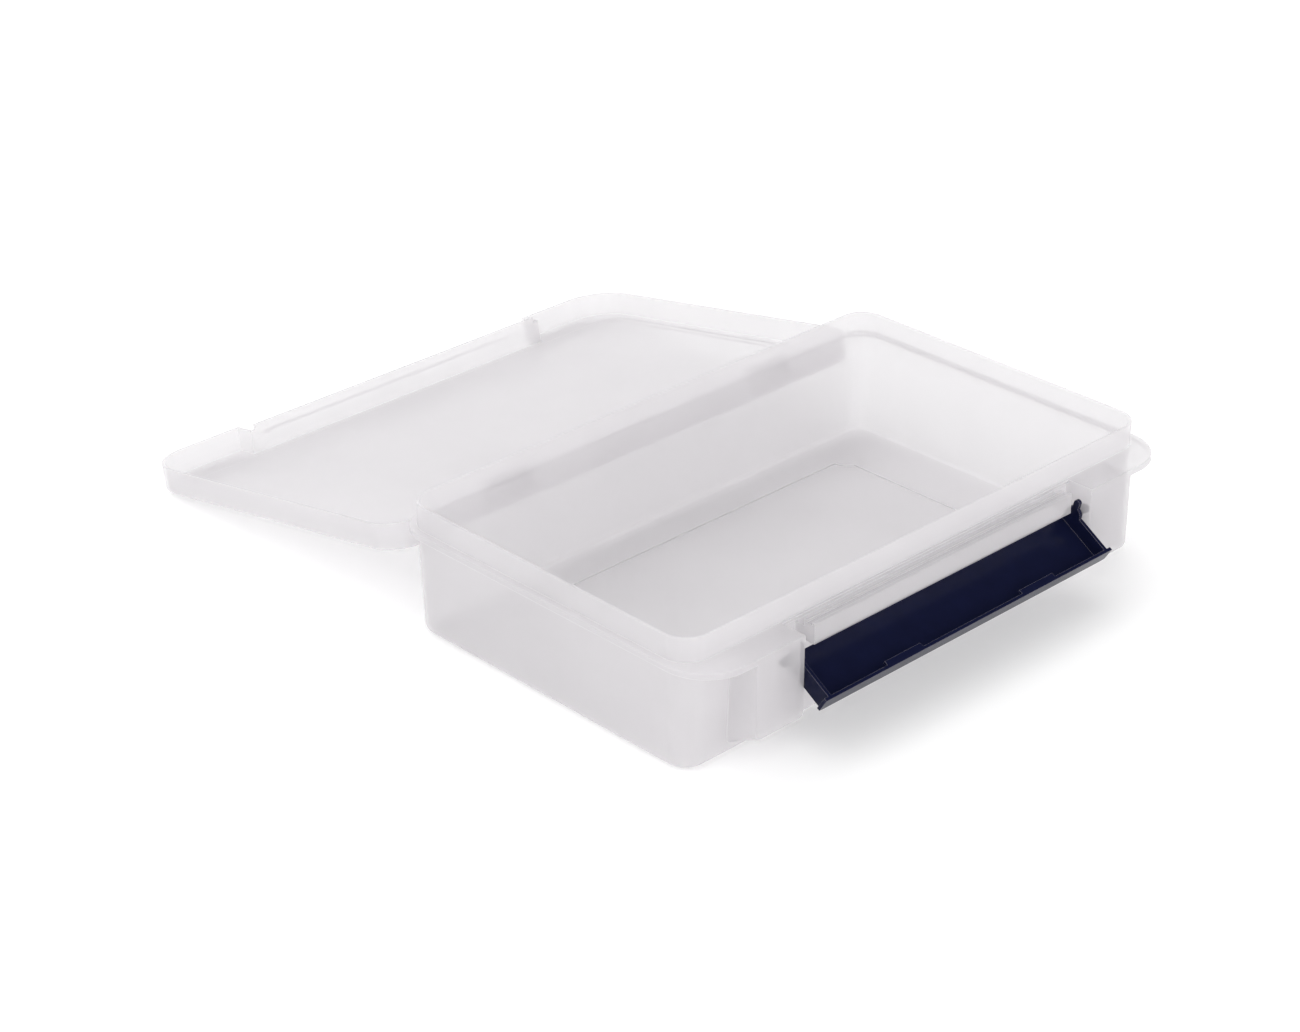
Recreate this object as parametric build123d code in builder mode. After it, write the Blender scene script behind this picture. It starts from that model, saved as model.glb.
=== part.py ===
from build123d import *
import math
import os

# A translucent pencil case: a deep tray, a lid hinged along its rear edge, and a long bar latch
# that swings on two stub pins at the front. X runs along the case, -Y is the latch side, and
# Z = 0 is the surface that the case stands on. Sizes are in millimetres.

# Tray
case_length = 330.0        # outside of the collar, along X
case_width = 195.4         # outside of the collar, along Y
case_height = 73.0         # top of the collar above the table
corner_radius = 14.0       # outside corner of the collar
wall = 1.6                 # moulded wall of the tray and the lid
draft = 2.3                # degrees that the wall leans in below the ledge
base_round = 4.0           # outside round between wall and base
floor_thickness = 1.8
foot_drop = 1.0            # the middle panel and the feet stand this far below the base
panel_inset_x = 37.5       # base edge to the middle panel, along X
panel_inset_y = 23.0       # and along Y
panel_corner = 10.0
foot_radius = 10.5
foot_bore = 8.0
foot_inset_x = 36.0        # base edge to the centre of a foot ring, along X
foot_inset_y = 24.0        # and along Y
rim_round = 0.6

# Ledge that the lid closes on
collar_rise = 13.0         # collar above the ledge
ledge_overhang = 3.8       # ledge outside the collar, at the ends and the rear
ledge_lip = 3.2            # height of the ledge's turned-down edge
lip_wall = 1.4
front_reach = 16.5         # ledge outside the collar, at the front
front_corner = 25.0

# Wings that carry the latch
latch_inset = 61.0         # collar end to the latch side of a wing
wing_width = 32.0
wing_bottom = 16.5         # bottom of a wing's front face above the table
wing_slope = 12.0          # a wing is this much deeper where it meets the wall
wing_corner = 3.5          # round at a wing's lower corners
slot_width = 10.5          # gap between a wing and the rail, for a latch arm
strip = 1.6                # ledge left along the collar behind the slots

# Rail between the wings
rail_reach = 12.3          # front of the rail outside the collar
rail_depth = 11.0          # rail below the ledge
groove_width = 5.5         # channel for the lid's front skirt
groove_depth = 3.4
ridge = 1.6
land_drop = 1.3            # land between the two ridges

# Latch
pivot_reach = 8.7          # pin axis outside the collar
pivot_drop = 15.4          # pin axis below the ledge
pin_radius = 2.4
pin_clearance = 0.08
pin_length = 8.3
latch_gap = 1.8            # latch cheek to wing
latch_skin = 1.8
latch_offset = 9.0         # outer face of the bar from the pin axis
latch_channel = 9.8        # depth of the bar, outer face to rim
latch_length = 26.1        # pin axis to the outside of the lip
latch_heel = 3.8           # bar beyond the pin axis
latch_round = 1.5
cheek_thickness = 2.0
lip_overrun = 2.6          # lip beyond the cheeks
boss_radius = 4.4
toe_length = 8.8           # toe beyond the pin axis
toe_width = 3.6
toe_angle = -17.0          # degrees, with the latch closed
tooth_width = 25.0
tooth_spacing = 98.0
tooth_thickness = 1.6
tooth_drop = 2.2           # tooth below the lip, with the latch closed
latch_open_angle = 122.0   # swing between closed and open

# Lid
lid_gap = 0.4              # skirt above the ledge
lid_rise = 2.0             # top of the lid above the collar
lid_round = 2.0
recess_depth = 12.7        # front recess, behind the front edge
recess_gap = 1.2           # recess end to the latch side of a wing
skirt_extra = 2.9          # front skirt below the rest of the skirt
skirt_side_gap = 0.6
plug_inset = 5.0           # collar outside to the sunken top panel
plug_drop = 1.2            # top panel below the lid's edge
plug_corner = 9.0
catch_reach = 5.1          # catch rib in front of the recessed skirt
catch_thickness = 2.0
catch_gap = 0.3            # catch rib under the latch teeth
grip_depth = 0.7           # shallow step in each short top edge
grip_length = 93.5
grip_front = 53.0          # front edge of the lid to the step
grip_width = 3.2

# Lid hinge
hinge_reach = 5.5          # hinge axis outside the collar
hinge_drop = 2.0           # hinge axis below the ledge
hinge_spacing = 190.0      # between the two hinges
bar_radius = 2.0
bar_clearance = 0.07
knuckle_width = 22.8
knuckle_wall = 1.6
knuckle_mouth = 100.0      # degrees left open, to snap over the bar
knuckle_gap = 0.6          # knuckle to lug
lug_thickness = 2.6
lug_wall = 1.3
lug_root = 12.0            # height of a lug where it meets the wall
lid_notch = 1.9            # rear skirt cut back above the ledge at a hinge
table_gap = 0.1            # open lid above the table

# Levels and places that follow from the sizes above
ledge_top = case_height - collar_rise
front_y = -case_width / 2 - front_reach
rear_y = case_width / 2 + ledge_overhang
half_outline = case_length / 2 + ledge_overhang
slot_outer = case_length / 2 - latch_inset
slot_inner = slot_outer - slot_width
collar_front = -case_width / 2
rail_front = collar_front - rail_reach
rail_bottom = ledge_top - rail_depth
groove_top = ledge_top - groove_depth
pivot_y = collar_front - pivot_reach
pivot_z = ledge_top - pivot_drop
latch_half = slot_outer - latch_gap
lid_bottom = ledge_top + lid_gap
lid_top = case_height + lid_rise
recess_y = front_y + recess_depth
recess_half = slot_outer + recess_gap
hinge_y = case_width / 2 + hinge_reach
hinge_z = ledge_top - hinge_drop
body_depth = ledge_top - foot_drop
base_length = case_length - 2 * body_depth * math.tan(math.radians(draft))
base_width = case_width - 2 * body_depth * math.tan(math.radians(draft))
panel_length = base_length - 2 * panel_inset_x
panel_width = base_width - 2 * panel_inset_y
feet = GridLocations(base_length - 2 * foot_inset_x, base_width - 2 * foot_inset_y, 2, 2)

# The open lid leans back until its rounded front edge is just above the table
edge_reach = hinge_y - front_y - lid_round
edge_rise = lid_top - lid_round - hinge_z
edge_radius = math.hypot(edge_reach, edge_rise)
edge_drop = hinge_z - lid_round - table_gap
lean = math.degrees(math.asin(edge_drop / edge_radius) - math.atan2(edge_rise, edge_reach))
lid_open_angle = 180 + lean

lid_axis = Axis((0, hinge_y, hinge_z), (1, 0, 0))
latch_axis = Axis((0, pivot_y, pivot_z), (1, 0, 0))


def case_outline(inset):
    """Sketch of the ledge and lid outline, drawn in by inset."""
    length = 2 * (half_outline - inset)
    width = rear_y - front_y - 2 * inset
    with BuildSketch(mode=Mode.PRIVATE) as outline:
        with Locations((0, (rear_y + front_y) / 2)):
            Rectangle(length, width)
        fillet(outline.vertices().group_by(Axis.Y)[0], front_corner - inset)
        fillet(outline.vertices().group_by(Axis.Y)[-1], corner_radius + ledge_overhang - inset)
    return outline.sketch


def slab(x_low, x_high, y_low, y_high, z_low, z_high, mode=Mode.ADD):
    """Box between two corners."""
    with Locations(((x_low + x_high) / 2, (y_low + y_high) / 2, (z_low + z_high) / 2)):
        Box(x_high - x_low, y_high - y_low, z_high - z_low, mode=mode)


# Wing: front face, two cheeks and an open underside, on the +X side
with BuildPart() as wing:
    with BuildSketch(Plane.YZ.offset(slot_outer)):
        Polygon(
            (collar_front + 4 * wall, ledge_top),
            (front_y, ledge_top),
            (front_y, wing_bottom),
            (collar_front + 4 * wall, wing_bottom - wing_slope),
            align=None,
        )
    extrude(amount=wing_width)
    fillet(wing.faces().sort_by(Axis.Z)[0].edges().filter_by(Axis.X, reverse=True), wing_corner)
    fillet(wing.edges().filter_by(Axis.Z).group_by(Axis.Y)[0], wall / 2)
    slab(
        slot_outer + wall,
        slot_outer + wing_width - wall,
        front_y + wall,
        0,
        -case_height,
        ledge_top - wall,
        Mode.SUBTRACT,
    )
    with Locations((slot_outer, pivot_y, pivot_z)):
        Cylinder(pin_radius + pin_clearance, 4 * wall, rotation=(0, 90, 0), mode=Mode.SUBTRACT)

# Ledge: flat shelf with a turned-down edge, open at the front between the wings
with BuildPart() as ledge:
    with BuildSketch(Plane.XY.offset(ledge_top - ledge_lip)):
        add(case_outline(0))
    extrude(amount=ledge_lip)
    fillet(ledge.edges().group_by(Axis.Z)[-1], rim_round)
    with BuildSketch(Plane.XY.offset(ledge_top - ledge_lip)):
        add(case_outline(lip_wall))
    extrude(amount=ledge_lip - wall, mode=Mode.SUBTRACT)
    slab(
        -slot_outer,
        slot_outer,
        front_y - wall,
        collar_front - strip,
        rail_bottom,
        ledge_top + wall,
        Mode.SUBTRACT,
    )
    with GridLocations(hinge_spacing, 1, 2, 1):
        with Locations((0, rear_y, ledge_top)):
            Box(
                knuckle_width + 2 * knuckle_gap,
                2 * (ledge_overhang - wall / 2),
                2 * ledge_lip,
                mode=Mode.SUBTRACT,
            )

# Rail: grooved shelf between the slots, with a turned-down front and closed ends
with BuildPart() as rail:
    groove_outer = collar_front - groove_width
    with BuildSketch(Plane.YZ) as rail_top:
        Polygon(
            (collar_front + wall / 2, groove_top),
            (groove_outer, groove_top),
            (groove_outer, ledge_top),
            (groove_outer - ridge, ledge_top),
            (groove_outer - ridge, ledge_top - land_drop),
            (rail_front + ridge, ledge_top - land_drop),
            (rail_front + ridge, ledge_top),
            (rail_front, ledge_top),
            (rail_front, rail_bottom),
            (collar_front + wall / 2, rail_bottom),
            align=None,
        )
    extrude(amount=slot_inner, both=True)
    with BuildSketch(Plane.YZ):
        Polygon(
            (0, groove_top - wall),
            (groove_outer - ridge, groove_top - wall),
            (groove_outer - ridge, ledge_top - land_drop - wall),
            (rail_front + wall, ledge_top - land_drop - wall),
            (rail_front + wall, 0),
            (0, 0),
            align=None,
        )
    extrude(amount=slot_inner - wall, both=True, mode=Mode.SUBTRACT)
    fillet(rail.edges().filter_by(Axis.X).group_by(Axis.Y)[0].group_by(Axis.Z)[-1], rim_round)

# Hinge lugs and the bar between them, for one hinge at X = 0
with BuildPart() as lug_pair:
    lug_inner = knuckle_width / 2 + knuckle_gap
    with BuildSketch(Plane.YZ.offset(lug_inner)) as lug_outline:
        with Locations((hinge_y, hinge_z)):
            Circle(bar_radius + lug_wall)
        with Locations((case_width / 2 - 3 * wall, ledge_top)):
            Rectangle(wall, lug_root, align=(Align.MIN, Align.MAX))
        make_hull()
    extrude(amount=lug_thickness)
    mirror(about=Plane.YZ)
    with Locations((0, hinge_y, hinge_z)):
        Cylinder(bar_radius, 2 * lug_inner + lug_thickness, rotation=(0, 90, 0))

# Space inside the tray below the ledge, one wall in from the outside
with BuildPart() as inside:
    with BuildSketch(Plane((0, 0, ledge_top), z_dir=(0, 0, -1))):
        RectangleRounded(case_length - 2 * wall, case_width - 2 * wall, corner_radius - wall)
    extrude(amount=body_depth - floor_thickness, taper=draft)
    fillet(inside.edges().group_by(Axis.Z)[0], base_round - wall)

with BuildPart() as tray:
    with BuildSketch(Plane.XY.offset(ledge_top)):
        RectangleRounded(case_length, case_width, corner_radius)
    extrude(amount=collar_rise)
    with BuildSketch(Plane((0, 0, ledge_top), z_dir=(0, 0, -1))):
        RectangleRounded(case_length, case_width, corner_radius)
    extrude(amount=body_depth, taper=draft)
    fillet(tray.edges().group_by(Axis.Z)[0], base_round)
    add(ledge.part)
    add(rail.part)
    add(wing.part)
    add(mirror(wing.part, about=Plane.YZ, mode=Mode.PRIVATE))
    with GridLocations(hinge_spacing, 1, 2, 1):
        add(lug_pair.part)
    with BuildSketch(Plane.XY):
        RectangleRounded(panel_length, panel_width, panel_corner)
        with feet:
            Circle(foot_radius)
            Circle(foot_bore, mode=Mode.SUBTRACT)
    extrude(amount=foot_drop)
    with BuildSketch(Plane.XY.offset(ledge_top)):
        RectangleRounded(case_length - 2 * wall, case_width - 2 * wall, corner_radius - wall)
    extrude(amount=collar_rise, mode=Mode.SUBTRACT)
    add(inside.part, mode=Mode.SUBTRACT)
    with BuildSketch(Plane.XY.offset(floor_thickness)):
        RectangleRounded(panel_length - 2 * wall, panel_width - 2 * wall, panel_corner - wall)
        with feet:
            Circle(foot_bore + wall, mode=Mode.SUBTRACT)
    extrude(amount=foot_drop, mode=Mode.SUBTRACT)
    fillet(tray.edges().group_by(Axis.Z)[-1], rim_round)

# Hinge knuckle: a clip that snaps over the bar, for one hinge at X = 0 with the lid closed
with BuildPart() as knuckle:
    with BuildSketch(Plane.YZ.offset(-knuckle_width / 2)):
        with Locations((hinge_y, hinge_z)):
            mouth_reach = 3 * bar_radius
            mouth_half = math.radians(knuckle_mouth / 2)
            Circle(bar_radius + bar_clearance + knuckle_wall)
            Circle(bar_radius + bar_clearance, mode=Mode.SUBTRACT)
            Polygon(
                (0, 0),
                (-mouth_reach * math.sin(mouth_half), -mouth_reach * math.cos(mouth_half)),
                (mouth_reach * math.sin(mouth_half), -mouth_reach * math.cos(mouth_half)),
                align=None,
                mode=Mode.SUBTRACT,
            )
    extrude(amount=knuckle_width)

# Lid, drawn closed
with BuildPart() as closed_lid:
    with BuildSketch(Plane.XY.offset(lid_bottom)):
        add(case_outline(0))
    extrude(amount=lid_top - lid_bottom)
    slab(
        -recess_half,
        recess_half,
        front_y - wall,
        recess_y,
        0,
        lid_top + wall,
        Mode.SUBTRACT,
    )
    corners = closed_lid.edges().filter_by(Axis.Z).filter_by_position(Axis.Y, front_y - 1, recess_y + 1)
    corners = corners.filter_by_position(Axis.X, -recess_half - 1, recess_half + 1)
    fillet(corners.group_by(Axis.Y)[0], wall)
    fillet(closed_lid.faces().sort_by(Axis.Z)[-1].edges(), lid_round)
    # Hollow, one wall in from the outline and from the recess
    with BuildSketch(Plane.XY.offset(lid_bottom)):
        add(case_outline(wall))
        with Locations((0, front_y)):
            Rectangle(
                2 * (recess_half + wall),
                2 * (recess_depth + wall),
                mode=Mode.SUBTRACT,
            )
    extrude(amount=lid_top - lid_bottom - wall, mode=Mode.SUBTRACT)
    # Sunken top panel that plugs the collar and takes the base of another case
    plug_length = case_length - 2 * plug_inset
    plug_width = case_width - 2 * plug_inset
    with BuildSketch(Plane.XY.offset(lid_top - wall - plug_drop)):
        RectangleRounded(plug_length, plug_width, plug_corner)
    extrude(amount=plug_drop)
    with BuildSketch(Plane.XY.offset(lid_top - plug_drop)):
        RectangleRounded(plug_length - 2 * wall, plug_width - 2 * wall, plug_corner - wall)
    extrude(amount=plug_drop, mode=Mode.SUBTRACT)
    # Deeper skirt across the recess, with the catch rib in front
    skirt_half = slot_outer - skirt_side_gap
    slab(-skirt_half, skirt_half, recess_y, recess_y + wall, lid_bottom - skirt_extra, lid_bottom)
    catch_top = pivot_z + latch_length - latch_skin - tooth_drop - catch_gap
    slab(
        -slot_inner,
        slot_inner,
        recess_y - catch_reach,
        recess_y,
        catch_top - catch_thickness,
        catch_top,
    )
    # Shallow step in each short top edge
    for side in (-1, 1):
        slab(
            side * half_outline - grip_width,
            side * half_outline + grip_width,
            front_y + grip_front,
            front_y + grip_front + grip_length,
            lid_top - grip_depth,
            lid_top + grip_depth,
            Mode.SUBTRACT,
        )
    # Hinge knuckles: the skirt is cut back, then a clip hangs below it
    notch_half = lug_inner + lug_thickness + knuckle_gap
    for side in (-1, 1):
        hinge_x = side * hinge_spacing / 2
        slab(
            hinge_x - notch_half,
            hinge_x + notch_half,
            rear_y - 2 * wall,
            rear_y + wall,
            lid_bottom - wall,
            ledge_top + lid_notch,
            Mode.SUBTRACT,
        )
        slab(
            hinge_x - knuckle_width / 2,
            hinge_x + knuckle_width / 2,
            rear_y - wall,
            rear_y,
            ledge_top,
            ledge_top + 2 * lid_notch,
        )
    with GridLocations(hinge_spacing, 1, 2, 1):
        add(knuckle.part)

with BuildPart() as lid:
    add(closed_lid.part.rotate(lid_axis, -lid_open_angle))

# Latch, drawn closed
with BuildPart() as closed_latch:
    bar_front = pivot_y - latch_offset
    bar_rim = bar_front + latch_channel
    bar_top = pivot_z + latch_length
    bar_heel = pivot_z - latch_heel
    with BuildSketch(Plane.YZ) as bar_outline:
        with BuildLine():
            Polyline(
                (bar_front, bar_heel),
                (bar_front, bar_top),
                (bar_rim, bar_top),
                (bar_rim, bar_top - latch_skin),
                (bar_front + latch_skin, bar_top - latch_skin),
                (bar_front + latch_skin, bar_heel),
                close=True,
            )
        make_face()
        fillet(bar_outline.vertices().group_by(Axis.X)[0], latch_round)
    extrude(amount=latch_half, both=True)
    # The lip runs on past the cheeks
    slab(
        -latch_half - lip_overrun,
        latch_half + lip_overrun,
        bar_front + latch_round,
        bar_rim,
        bar_top - latch_skin,
        bar_top,
    )
    with Locations((0, bar_rim - tooth_thickness / 2, bar_top - latch_skin - tooth_drop / 2)):
        with GridLocations(tooth_spacing, 1, 2, 1):
            Box(tooth_width, tooth_thickness, tooth_drop)
    with BuildSketch(Plane.YZ.offset(latch_half - cheek_thickness)):
        Polygon(
            (bar_front + latch_round, bar_heel),
            (bar_front + latch_round, bar_top - latch_round),
            (bar_rim, bar_top - latch_round),
            (bar_rim, pivot_z),
            (pivot_y, bar_heel),
            align=None,
        )
        with Locations((pivot_y, pivot_z)):
            Circle(boss_radius)
            with Locations(Location((0, 0), toe_angle)):
                SlotCenterPoint((toe_length / 2, 0), (toe_length - toe_width / 2, 0), toe_width)
    extrude(amount=cheek_thickness)
    with Locations((latch_half, pivot_y, pivot_z)):
        Cylinder(
            pin_radius,
            pin_length,
            rotation=(0, 90, 0),
            align=(Align.CENTER, Align.CENTER, Align.MIN),
        )
    mirror(about=Plane.YZ)

with BuildPart() as latch:
    add(closed_latch.part.rotate(latch_axis, latch_open_angle))

os.makedirs("parts", exist_ok=True)
tray.part.label = "tray"
lid.part.label = "lid"
latch.part.label = "latch"
export_step(tray.part, "parts/tray.step")
export_step(lid.part, "parts/lid.step")
export_step(latch.part, "parts/latch.step")
print("lid opens", round(lid_open_angle, 3), "hinge", hinge_y, hinge_z, "pivot", pivot_y, pivot_z)
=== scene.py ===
import bmesh
import bpy
import math
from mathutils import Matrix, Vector


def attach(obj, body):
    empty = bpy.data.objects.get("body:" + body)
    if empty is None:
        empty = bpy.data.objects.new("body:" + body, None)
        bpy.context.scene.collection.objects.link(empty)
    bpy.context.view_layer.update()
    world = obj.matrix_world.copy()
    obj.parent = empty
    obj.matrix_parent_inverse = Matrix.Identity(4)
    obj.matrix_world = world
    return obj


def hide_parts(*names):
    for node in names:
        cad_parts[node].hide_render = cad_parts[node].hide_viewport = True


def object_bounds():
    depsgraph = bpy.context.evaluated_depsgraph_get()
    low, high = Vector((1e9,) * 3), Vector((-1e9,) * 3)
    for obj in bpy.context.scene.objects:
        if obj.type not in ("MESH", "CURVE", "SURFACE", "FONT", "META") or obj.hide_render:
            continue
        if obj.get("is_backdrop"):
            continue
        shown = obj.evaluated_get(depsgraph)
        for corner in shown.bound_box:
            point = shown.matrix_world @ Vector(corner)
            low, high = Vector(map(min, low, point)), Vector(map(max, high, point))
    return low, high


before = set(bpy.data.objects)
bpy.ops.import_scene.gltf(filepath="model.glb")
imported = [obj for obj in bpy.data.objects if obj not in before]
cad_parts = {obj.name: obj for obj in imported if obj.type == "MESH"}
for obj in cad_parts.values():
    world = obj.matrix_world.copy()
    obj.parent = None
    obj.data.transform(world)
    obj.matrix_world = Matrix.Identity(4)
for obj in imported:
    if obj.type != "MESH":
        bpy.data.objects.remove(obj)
cadLow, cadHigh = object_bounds()
scene = bpy.context.scene
print("frame loaded")


def toLinear(hexColour):
    # sRGB hex to the linear values that the shaders take
    out = []
    for i in (0, 2, 4):
        c = int(hexColour[i:i + 2], 16) / 255
        out.append(c / 12.92 if c <= 0.04045 else ((c + 0.055) / 1.055) ** 2.4)
    return (*out, 1.0)


def addNode(tree, kind, settings=None, values=None, links=None):
    # one node with its settings, its plain values and what is linked into it
    node = tree.nodes.new(kind)
    for key, value in (settings or {}).items():
        setattr(node, key, value)
    for key, value in (values or {}).items():
        node.inputs[key].default_value = value
    for key, socket in (links or {}).items():
        tree.links.new(socket, node.inputs[key])
    return node


def startMaterial(name):
    material = bpy.data.materials.new(name)
    material.use_nodes = True
    material.node_tree.nodes.clear()
    return material, material.node_tree


def addEdgeMask(tree, look):
    # rounds the shading over the edges; the mask is 1 on an edge and 0 on the flats
    soft = addNode(tree, "ShaderNodeBevel", {"samples": look["bevelSamples"]},
                   {"Radius": look["bevel"]})
    flat = addNode(tree, "ShaderNodeNewGeometry")
    turned = addNode(tree, "ShaderNodeVectorMath", {"operation": "DOT_PRODUCT"},
                     links={0: soft.outputs["Normal"], 1: flat.outputs["True Normal"]})
    starts, full = look["edgeTurn"]
    edge = addNode(tree, "ShaderNodeMapRange", values={"From Min": starts, "From Max": full},
                   links={"Value": turned.outputs["Value"]})
    return soft.outputs["Normal"], edge.outputs["Result"]


# Natural polypropylene, injection moulded without pigment: milky, lets light through, and the
# polished mould leaves a soft sheen with faint flow marks
naturalPlastic = {
    "colour": "e7e5e7",
    "thickColour": "dfdddf",
    "edgeHighlightColour": "e6e5e7",      # painted highlight on the edges, standing in for light caught on the rims
    "cloudSize": 0.060,          # slow changes in milkiness, metres
    "cloudDetail": 2.0,
    "cloudRoughness": 0.45,
    "flowSize": 0.0035,          # flow marks across the wall, metres
    "flowStretch": 9.0,          # along the case compared with across it
    "flowDetail": 3.0,
    "flowRoughness": 0.5,
    "flowDepth": 0.00003,        # metres
    "flowStrength": 0.35,
    "roughness": (0.15, 0.25),   # between flow marks and on them
    "ior": 1.49,
    "glow": 0.56,                # share of the scattered light that comes out on the far side
    "density": 0.46,             # how much of what is behind one surface it hides
    "edgeDensity": 0.62,
    "bevel": 0.0007,             # metres
    "bevelSamples": 6,
    "edgeTurn": (0.995, 0.85),   # cosine of the turn where an edge starts, and where it is full
}


def makeNaturalPlastic(look):
    material, tree = startMaterial("naturalPolypropylene_moulded")
    place = addNode(tree, "ShaderNodeTexCoord")
    cloud = addNode(tree, "ShaderNodeTexNoise",
                    values={"Scale": 1 / look["cloudSize"], "Detail": look["cloudDetail"],
                            "Roughness": look["cloudRoughness"]},
                    links={"Vector": place.outputs["Object"]})
    colour = addNode(tree, "ShaderNodeMix", {"data_type": "RGBA"},
                     {6: toLinear(look["colour"]), 7: toLinear(look["thickColour"])},
                     {0: cloud.outputs["Fac"]})
    along = addNode(tree, "ShaderNodeMapping", values={"Scale": (1 / look["flowStretch"], 1, 1)},
                    links={"Vector": place.outputs["Object"]})
    flow = addNode(tree, "ShaderNodeTexNoise",
                   values={"Scale": 1 / look["flowSize"], "Detail": look["flowDetail"],
                           "Roughness": look["flowRoughness"]},
                   links={"Vector": along.outputs["Vector"]})
    low, high = look["roughness"]
    gloss = addNode(tree, "ShaderNodeMapRange", values={"To Min": low, "To Max": high},
                    links={"Value": flow.outputs["Fac"]})
    rounded, edge = addEdgeMask(tree, look)
    # painted highlight: the edges are mixed toward a paler colour, standing in for light caught on
    # the rims
    lit = addNode(tree, "ShaderNodeMix", {"data_type": "RGBA"}, {7: toLinear(look["edgeHighlightColour"])},
                  {0: edge, 6: colour.outputs[2]})
    bump = addNode(tree, "ShaderNodeBump",
                   values={"Strength": look["flowStrength"], "Distance": look["flowDepth"]},
                   links={"Height": flow.outputs["Fac"], "Normal": rounded})
    shader = addNode(tree, "ShaderNodeBsdfPrincipled", values={"IOR": look["ior"]},
                     links={"Base Color": lit.outputs[2], "Roughness": gloss.outputs["Result"],
                            "Normal": bump.outputs["Normal"]})
    through = addNode(tree, "ShaderNodeBsdfTranslucent",
                      links={"Color": lit.outputs[2], "Normal": bump.outputs["Normal"]})
    milk = addNode(tree, "ShaderNodeMixShader", values={0: look["glow"]},
                   links={1: shader.outputs[0], 2: through.outputs[0]})
    clear = addNode(tree, "ShaderNodeBsdfTransparent")
    # the edges are also made denser, so the painted edge highlight hides more of what is behind it
    density = addNode(tree, "ShaderNodeMapRange",
                      values={"To Min": look["density"], "To Max": look["edgeDensity"]},
                      links={"Value": edge})
    wall = addNode(tree, "ShaderNodeMixShader",
                   links={0: density.outputs["Result"], 1: clear.outputs[0], 2: milk.outputs[0]})
    addNode(tree, "ShaderNodeOutputMaterial", links={"Surface": wall.outputs[0]})
    return material


# Navy polypropylene, injection moulded with pigment in it: dense, nearly black in shade, with a
# satin surface
navyPlastic = {
    "colour": "0f1229",
    "streakColour": "131732",
    "edgeHighlightColour": "85828c",      # painted highlight on the edges, standing in for the studio light reflected on the rims
    "streakSize": 0.012,         # patches of denser pigment, metres
    "streakDetail": 2.0,
    "streakRoughness": 0.5,
    "grainSize": 0.0007,         # mould texture, metres
    "grainDetail": 2.0,
    "grainRoughness": 0.6,
    "grainDepth": 0.00002,       # metres
    "grainStrength": 0.3,
    "roughness": (0.16, 0.26),
    "ior": 1.5,
    "specular": 0.14,
    "bevel": 0.0004,             # metres
    "bevelSamples": 6,
    "edgeTurn": (0.99, 0.80),
}


def makeNavyPlastic(look):
    material, tree = startMaterial("navyPolypropylene_moulded")
    place = addNode(tree, "ShaderNodeTexCoord")
    streak = addNode(tree, "ShaderNodeTexNoise",
                     values={"Scale": 1 / look["streakSize"], "Detail": look["streakDetail"],
                             "Roughness": look["streakRoughness"]},
                     links={"Vector": place.outputs["Object"]})
    colour = addNode(tree, "ShaderNodeMix", {"data_type": "RGBA"},
                     {6: toLinear(look["colour"]), 7: toLinear(look["streakColour"])},
                     {0: streak.outputs["Fac"]})
    grain = addNode(tree, "ShaderNodeTexNoise",
                    values={"Scale": 1 / look["grainSize"], "Detail": look["grainDetail"],
                            "Roughness": look["grainRoughness"]},
                    links={"Vector": place.outputs["Object"]})
    low, high = look["roughness"]
    gloss = addNode(tree, "ShaderNodeMapRange", values={"To Min": low, "To Max": high},
                    links={"Value": grain.outputs["Fac"]})
    rounded, edge = addEdgeMask(tree, look)
    # painted highlight: the edges are mixed toward a pale colour, standing in for the studio light
    # reflected on the rims
    edgeHighlighted = addNode(tree, "ShaderNodeMix", {"data_type": "RGBA"},
                     {7: toLinear(look["edgeHighlightColour"])}, {0: edge, 6: colour.outputs[2]})
    bump = addNode(tree, "ShaderNodeBump",
                   values={"Strength": look["grainStrength"], "Distance": look["grainDepth"]},
                   links={"Height": grain.outputs["Fac"], "Normal": rounded})
    shader = addNode(tree, "ShaderNodeBsdfPrincipled",
                     values={"IOR": look["ior"], "Specular IOR Level": look["specular"]},
                     links={"Base Color": edgeHighlighted.outputs[2], "Roughness": gloss.outputs["Result"],
                            "Normal": bump.outputs["Normal"]})
    addNode(tree, "ShaderNodeOutputMaterial", links={"Surface": shader.outputs[0]})
    return material


milky = makeNaturalPlastic(naturalPlastic)
navy = makeNavyPlastic(navyPlastic)
print("plastics done")

# The three mouldings: each is a copy of its CAD body with a bevel at its sharp edges. "ease" is
# the width asked for, in metres. Its clamp holds it back to what the shortest edge allows, 0.002
# mm on the tray, 0.013 mm on the lid and 0.09 mm on the latch, so it is the shading that looks
# rounded there
mouldings = {
    "trayMoulding": {"body": "tray", "slot": "clear_shell", "plastic": milky, "ease": 0.00035},
    "lidMoulding": {"body": "lid", "slot": "clear_shell", "plastic": milky, "ease": 0.00035},
    "latchMoulding": {"body": "latch", "slot": "latch_plastic", "plastic": navy, "ease": 0.00040},
}
easing = {
    "sharpFrom": math.radians(40),     # an edge that turns more than this gets the bevel
    "flatWithin": math.radians(0.5),   # faces that turn less than this are joined first
    "mergeWithin": 2e-6,
    "segments": 2,
}


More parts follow.
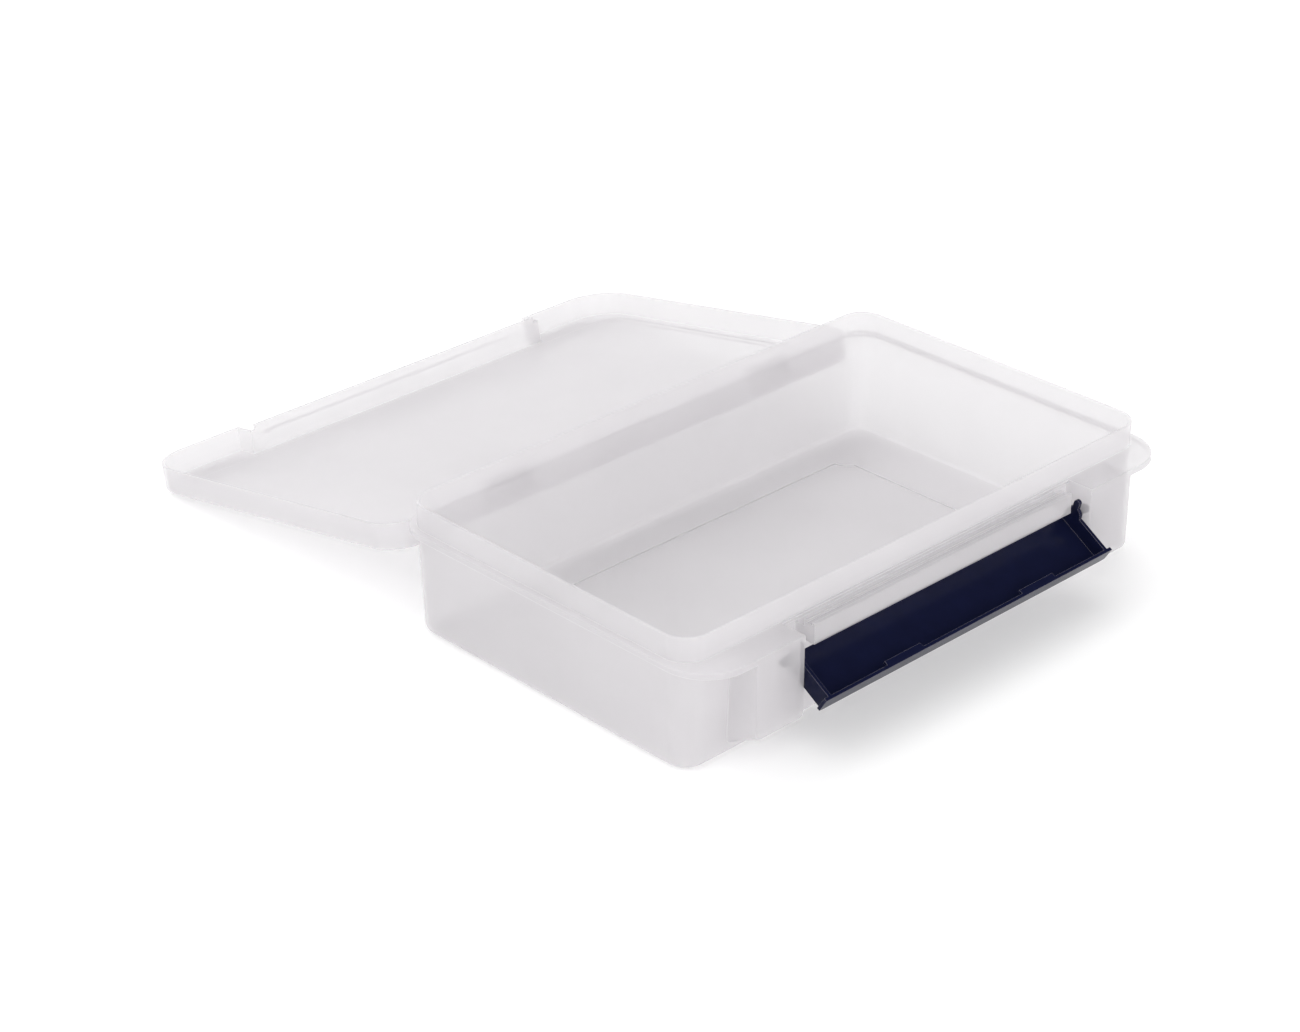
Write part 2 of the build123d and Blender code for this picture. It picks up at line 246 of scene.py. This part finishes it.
def makeMoulding(name, moulding):
    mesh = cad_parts[moulding["body"]].data.copy()
    mesh.name = name
    shape = bmesh.new()
    shape.from_mesh(mesh)
    bmesh.ops.remove_doubles(shape, verts=shape.verts, dist=easing["mergeWithin"])
    bmesh.ops.dissolve_limit(shape, angle_limit=easing["flatWithin"], verts=shape.verts,
                             edges=shape.edges)
    for face in shape.faces:
        face.smooth = True
        face.material_index = 0
    shape.to_mesh(mesh)
    shape.free()
    piece = bpy.data.objects.new(name, mesh)
    scene.collection.objects.link(piece)
    mesh.materials.clear()
    mesh.materials.append(moulding["plastic"])
    ease = piece.modifiers.new("ease", "BEVEL")
    ease.width = moulding["ease"]
    ease.segments = easing["segments"]
    ease.limit_method = "ANGLE"
    ease.angle_limit = easing["sharpFrom"]
    even = piece.modifiers.new("even", "WEIGHTED_NORMAL")
    even.keep_sharp = False
    graph = bpy.context.evaluated_depsgraph_get()
    finished = bpy.data.meshes.new_from_object(piece.evaluated_get(graph))
    piece.modifiers.clear()
    piece.data = finished
    finished.name = name
    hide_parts(moulding["body"])
    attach(piece, moulding["body"])
    return piece


for name, moulding in mouldings.items():
    piece = makeMoulding(name, moulding)
    print(name, "done,", len(piece.data.polygons), "faces")

# Pale floor and soft studio light
studio = {
    "floorSize": 14.0,
    "floorColour": "fafafa",
    "floorRoughness": 0.9,
    "floorDrop": 0.0004,                   # just under the case, so that no two faces share a plane
    "sky": 1.45,
    "dark": 0.05,
    "darkToward": (0.614, -0.143, 0.776),  # unlit side of the room, which the latch mirrors
    "darkEdge": (0.80, 0.96),              # cosine where the dark starts, and where it is full
    "lamps": {
        "overhead": {"at": (-0.3, 0.2, 2.4), "size": 2.2, "watts": 2},
        "leftStrip": {"at": (-1.6, 0.5, 1.3), "size": 0.35, "watts": 1.5},
        "rearStrip": {"at": (0.9, 1.7, 1.2), "size": 0.35, "watts": 1.5},
    },
}
bpy.ops.mesh.primitive_plane_add(size=studio["floorSize"],
                                 location=(0, 0, cadLow.z - studio["floorDrop"]))
floor = bpy.context.object
floor.name = "floor"
paper, tree = startMaterial("matPaper")
shader = addNode(tree, "ShaderNodeBsdfPrincipled",
                 values={"Base Color": toLinear(studio["floorColour"]),
                         "Roughness": studio["floorRoughness"]})
addNode(tree, "ShaderNodeOutputMaterial", links={"Surface": shader.outputs[0]})
floor.data.materials.append(paper)
floor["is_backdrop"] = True

world = bpy.data.worlds.new("studio")
scene.world = world
world.use_nodes = True
sky = world.node_tree
place = addNode(sky, "ShaderNodeTexCoord")
toward = addNode(sky, "ShaderNodeVectorMath", {"operation": "DOT_PRODUCT"},
                 {1: studio["darkToward"]}, {0: place.outputs["Generated"]})
low, high = studio["darkEdge"]
shade = addNode(sky, "ShaderNodeMapRange",
                values={"From Min": low, "From Max": high,
                        "To Min": studio["sky"], "To Max": studio["dark"]},
                links={"Value": toward.outputs["Value"]})
sky.links.new(shade.outputs["Result"], sky.nodes["Background"].inputs["Strength"])
sky.nodes["Background"].inputs["Color"].default_value = (1, 1, 1, 1)
for name, lamp in studio["lamps"].items():
    light = bpy.data.lights.new(name, "AREA")
    light.size = lamp["size"]
    light.energy = lamp["watts"]
    holder = bpy.data.objects.new(name, light)
    scene.collection.objects.link(holder)
    holder.location = lamp["at"]
    holder.rotation_euler = (-Vector(lamp["at"])).to_track_quat("-Z", "Y").to_euler()
print("studio done")

# Metres and degrees, the lens and its sensor in millimetres
view = {
    "target": (-0.0348, 0.0600, 0.0299),
    "azimuth": -44.033,
    "elevation": 27.944,
    "distance": 1.55,
    "lens": 83.7,
    "sensor": 36,
}
camera = bpy.data.objects.new("camera", bpy.data.cameras.new("camera"))
scene.collection.objects.link(camera)
turn, rise = math.radians(view["azimuth"]), math.radians(view["elevation"])
back = Vector((math.sin(turn) * math.cos(rise), -math.cos(turn) * math.cos(rise), math.sin(rise)))
camera.location = Vector(view["target"]) + back * view["distance"]
camera.rotation_euler = (-back).to_track_quat("-Z", "Y").to_euler()
camera.data.lens = view["lens"]
camera.data.sensor_width = view["sensor"]
scene.camera = camera
scene.view_settings.view_transform = "Standard"

low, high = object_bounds()
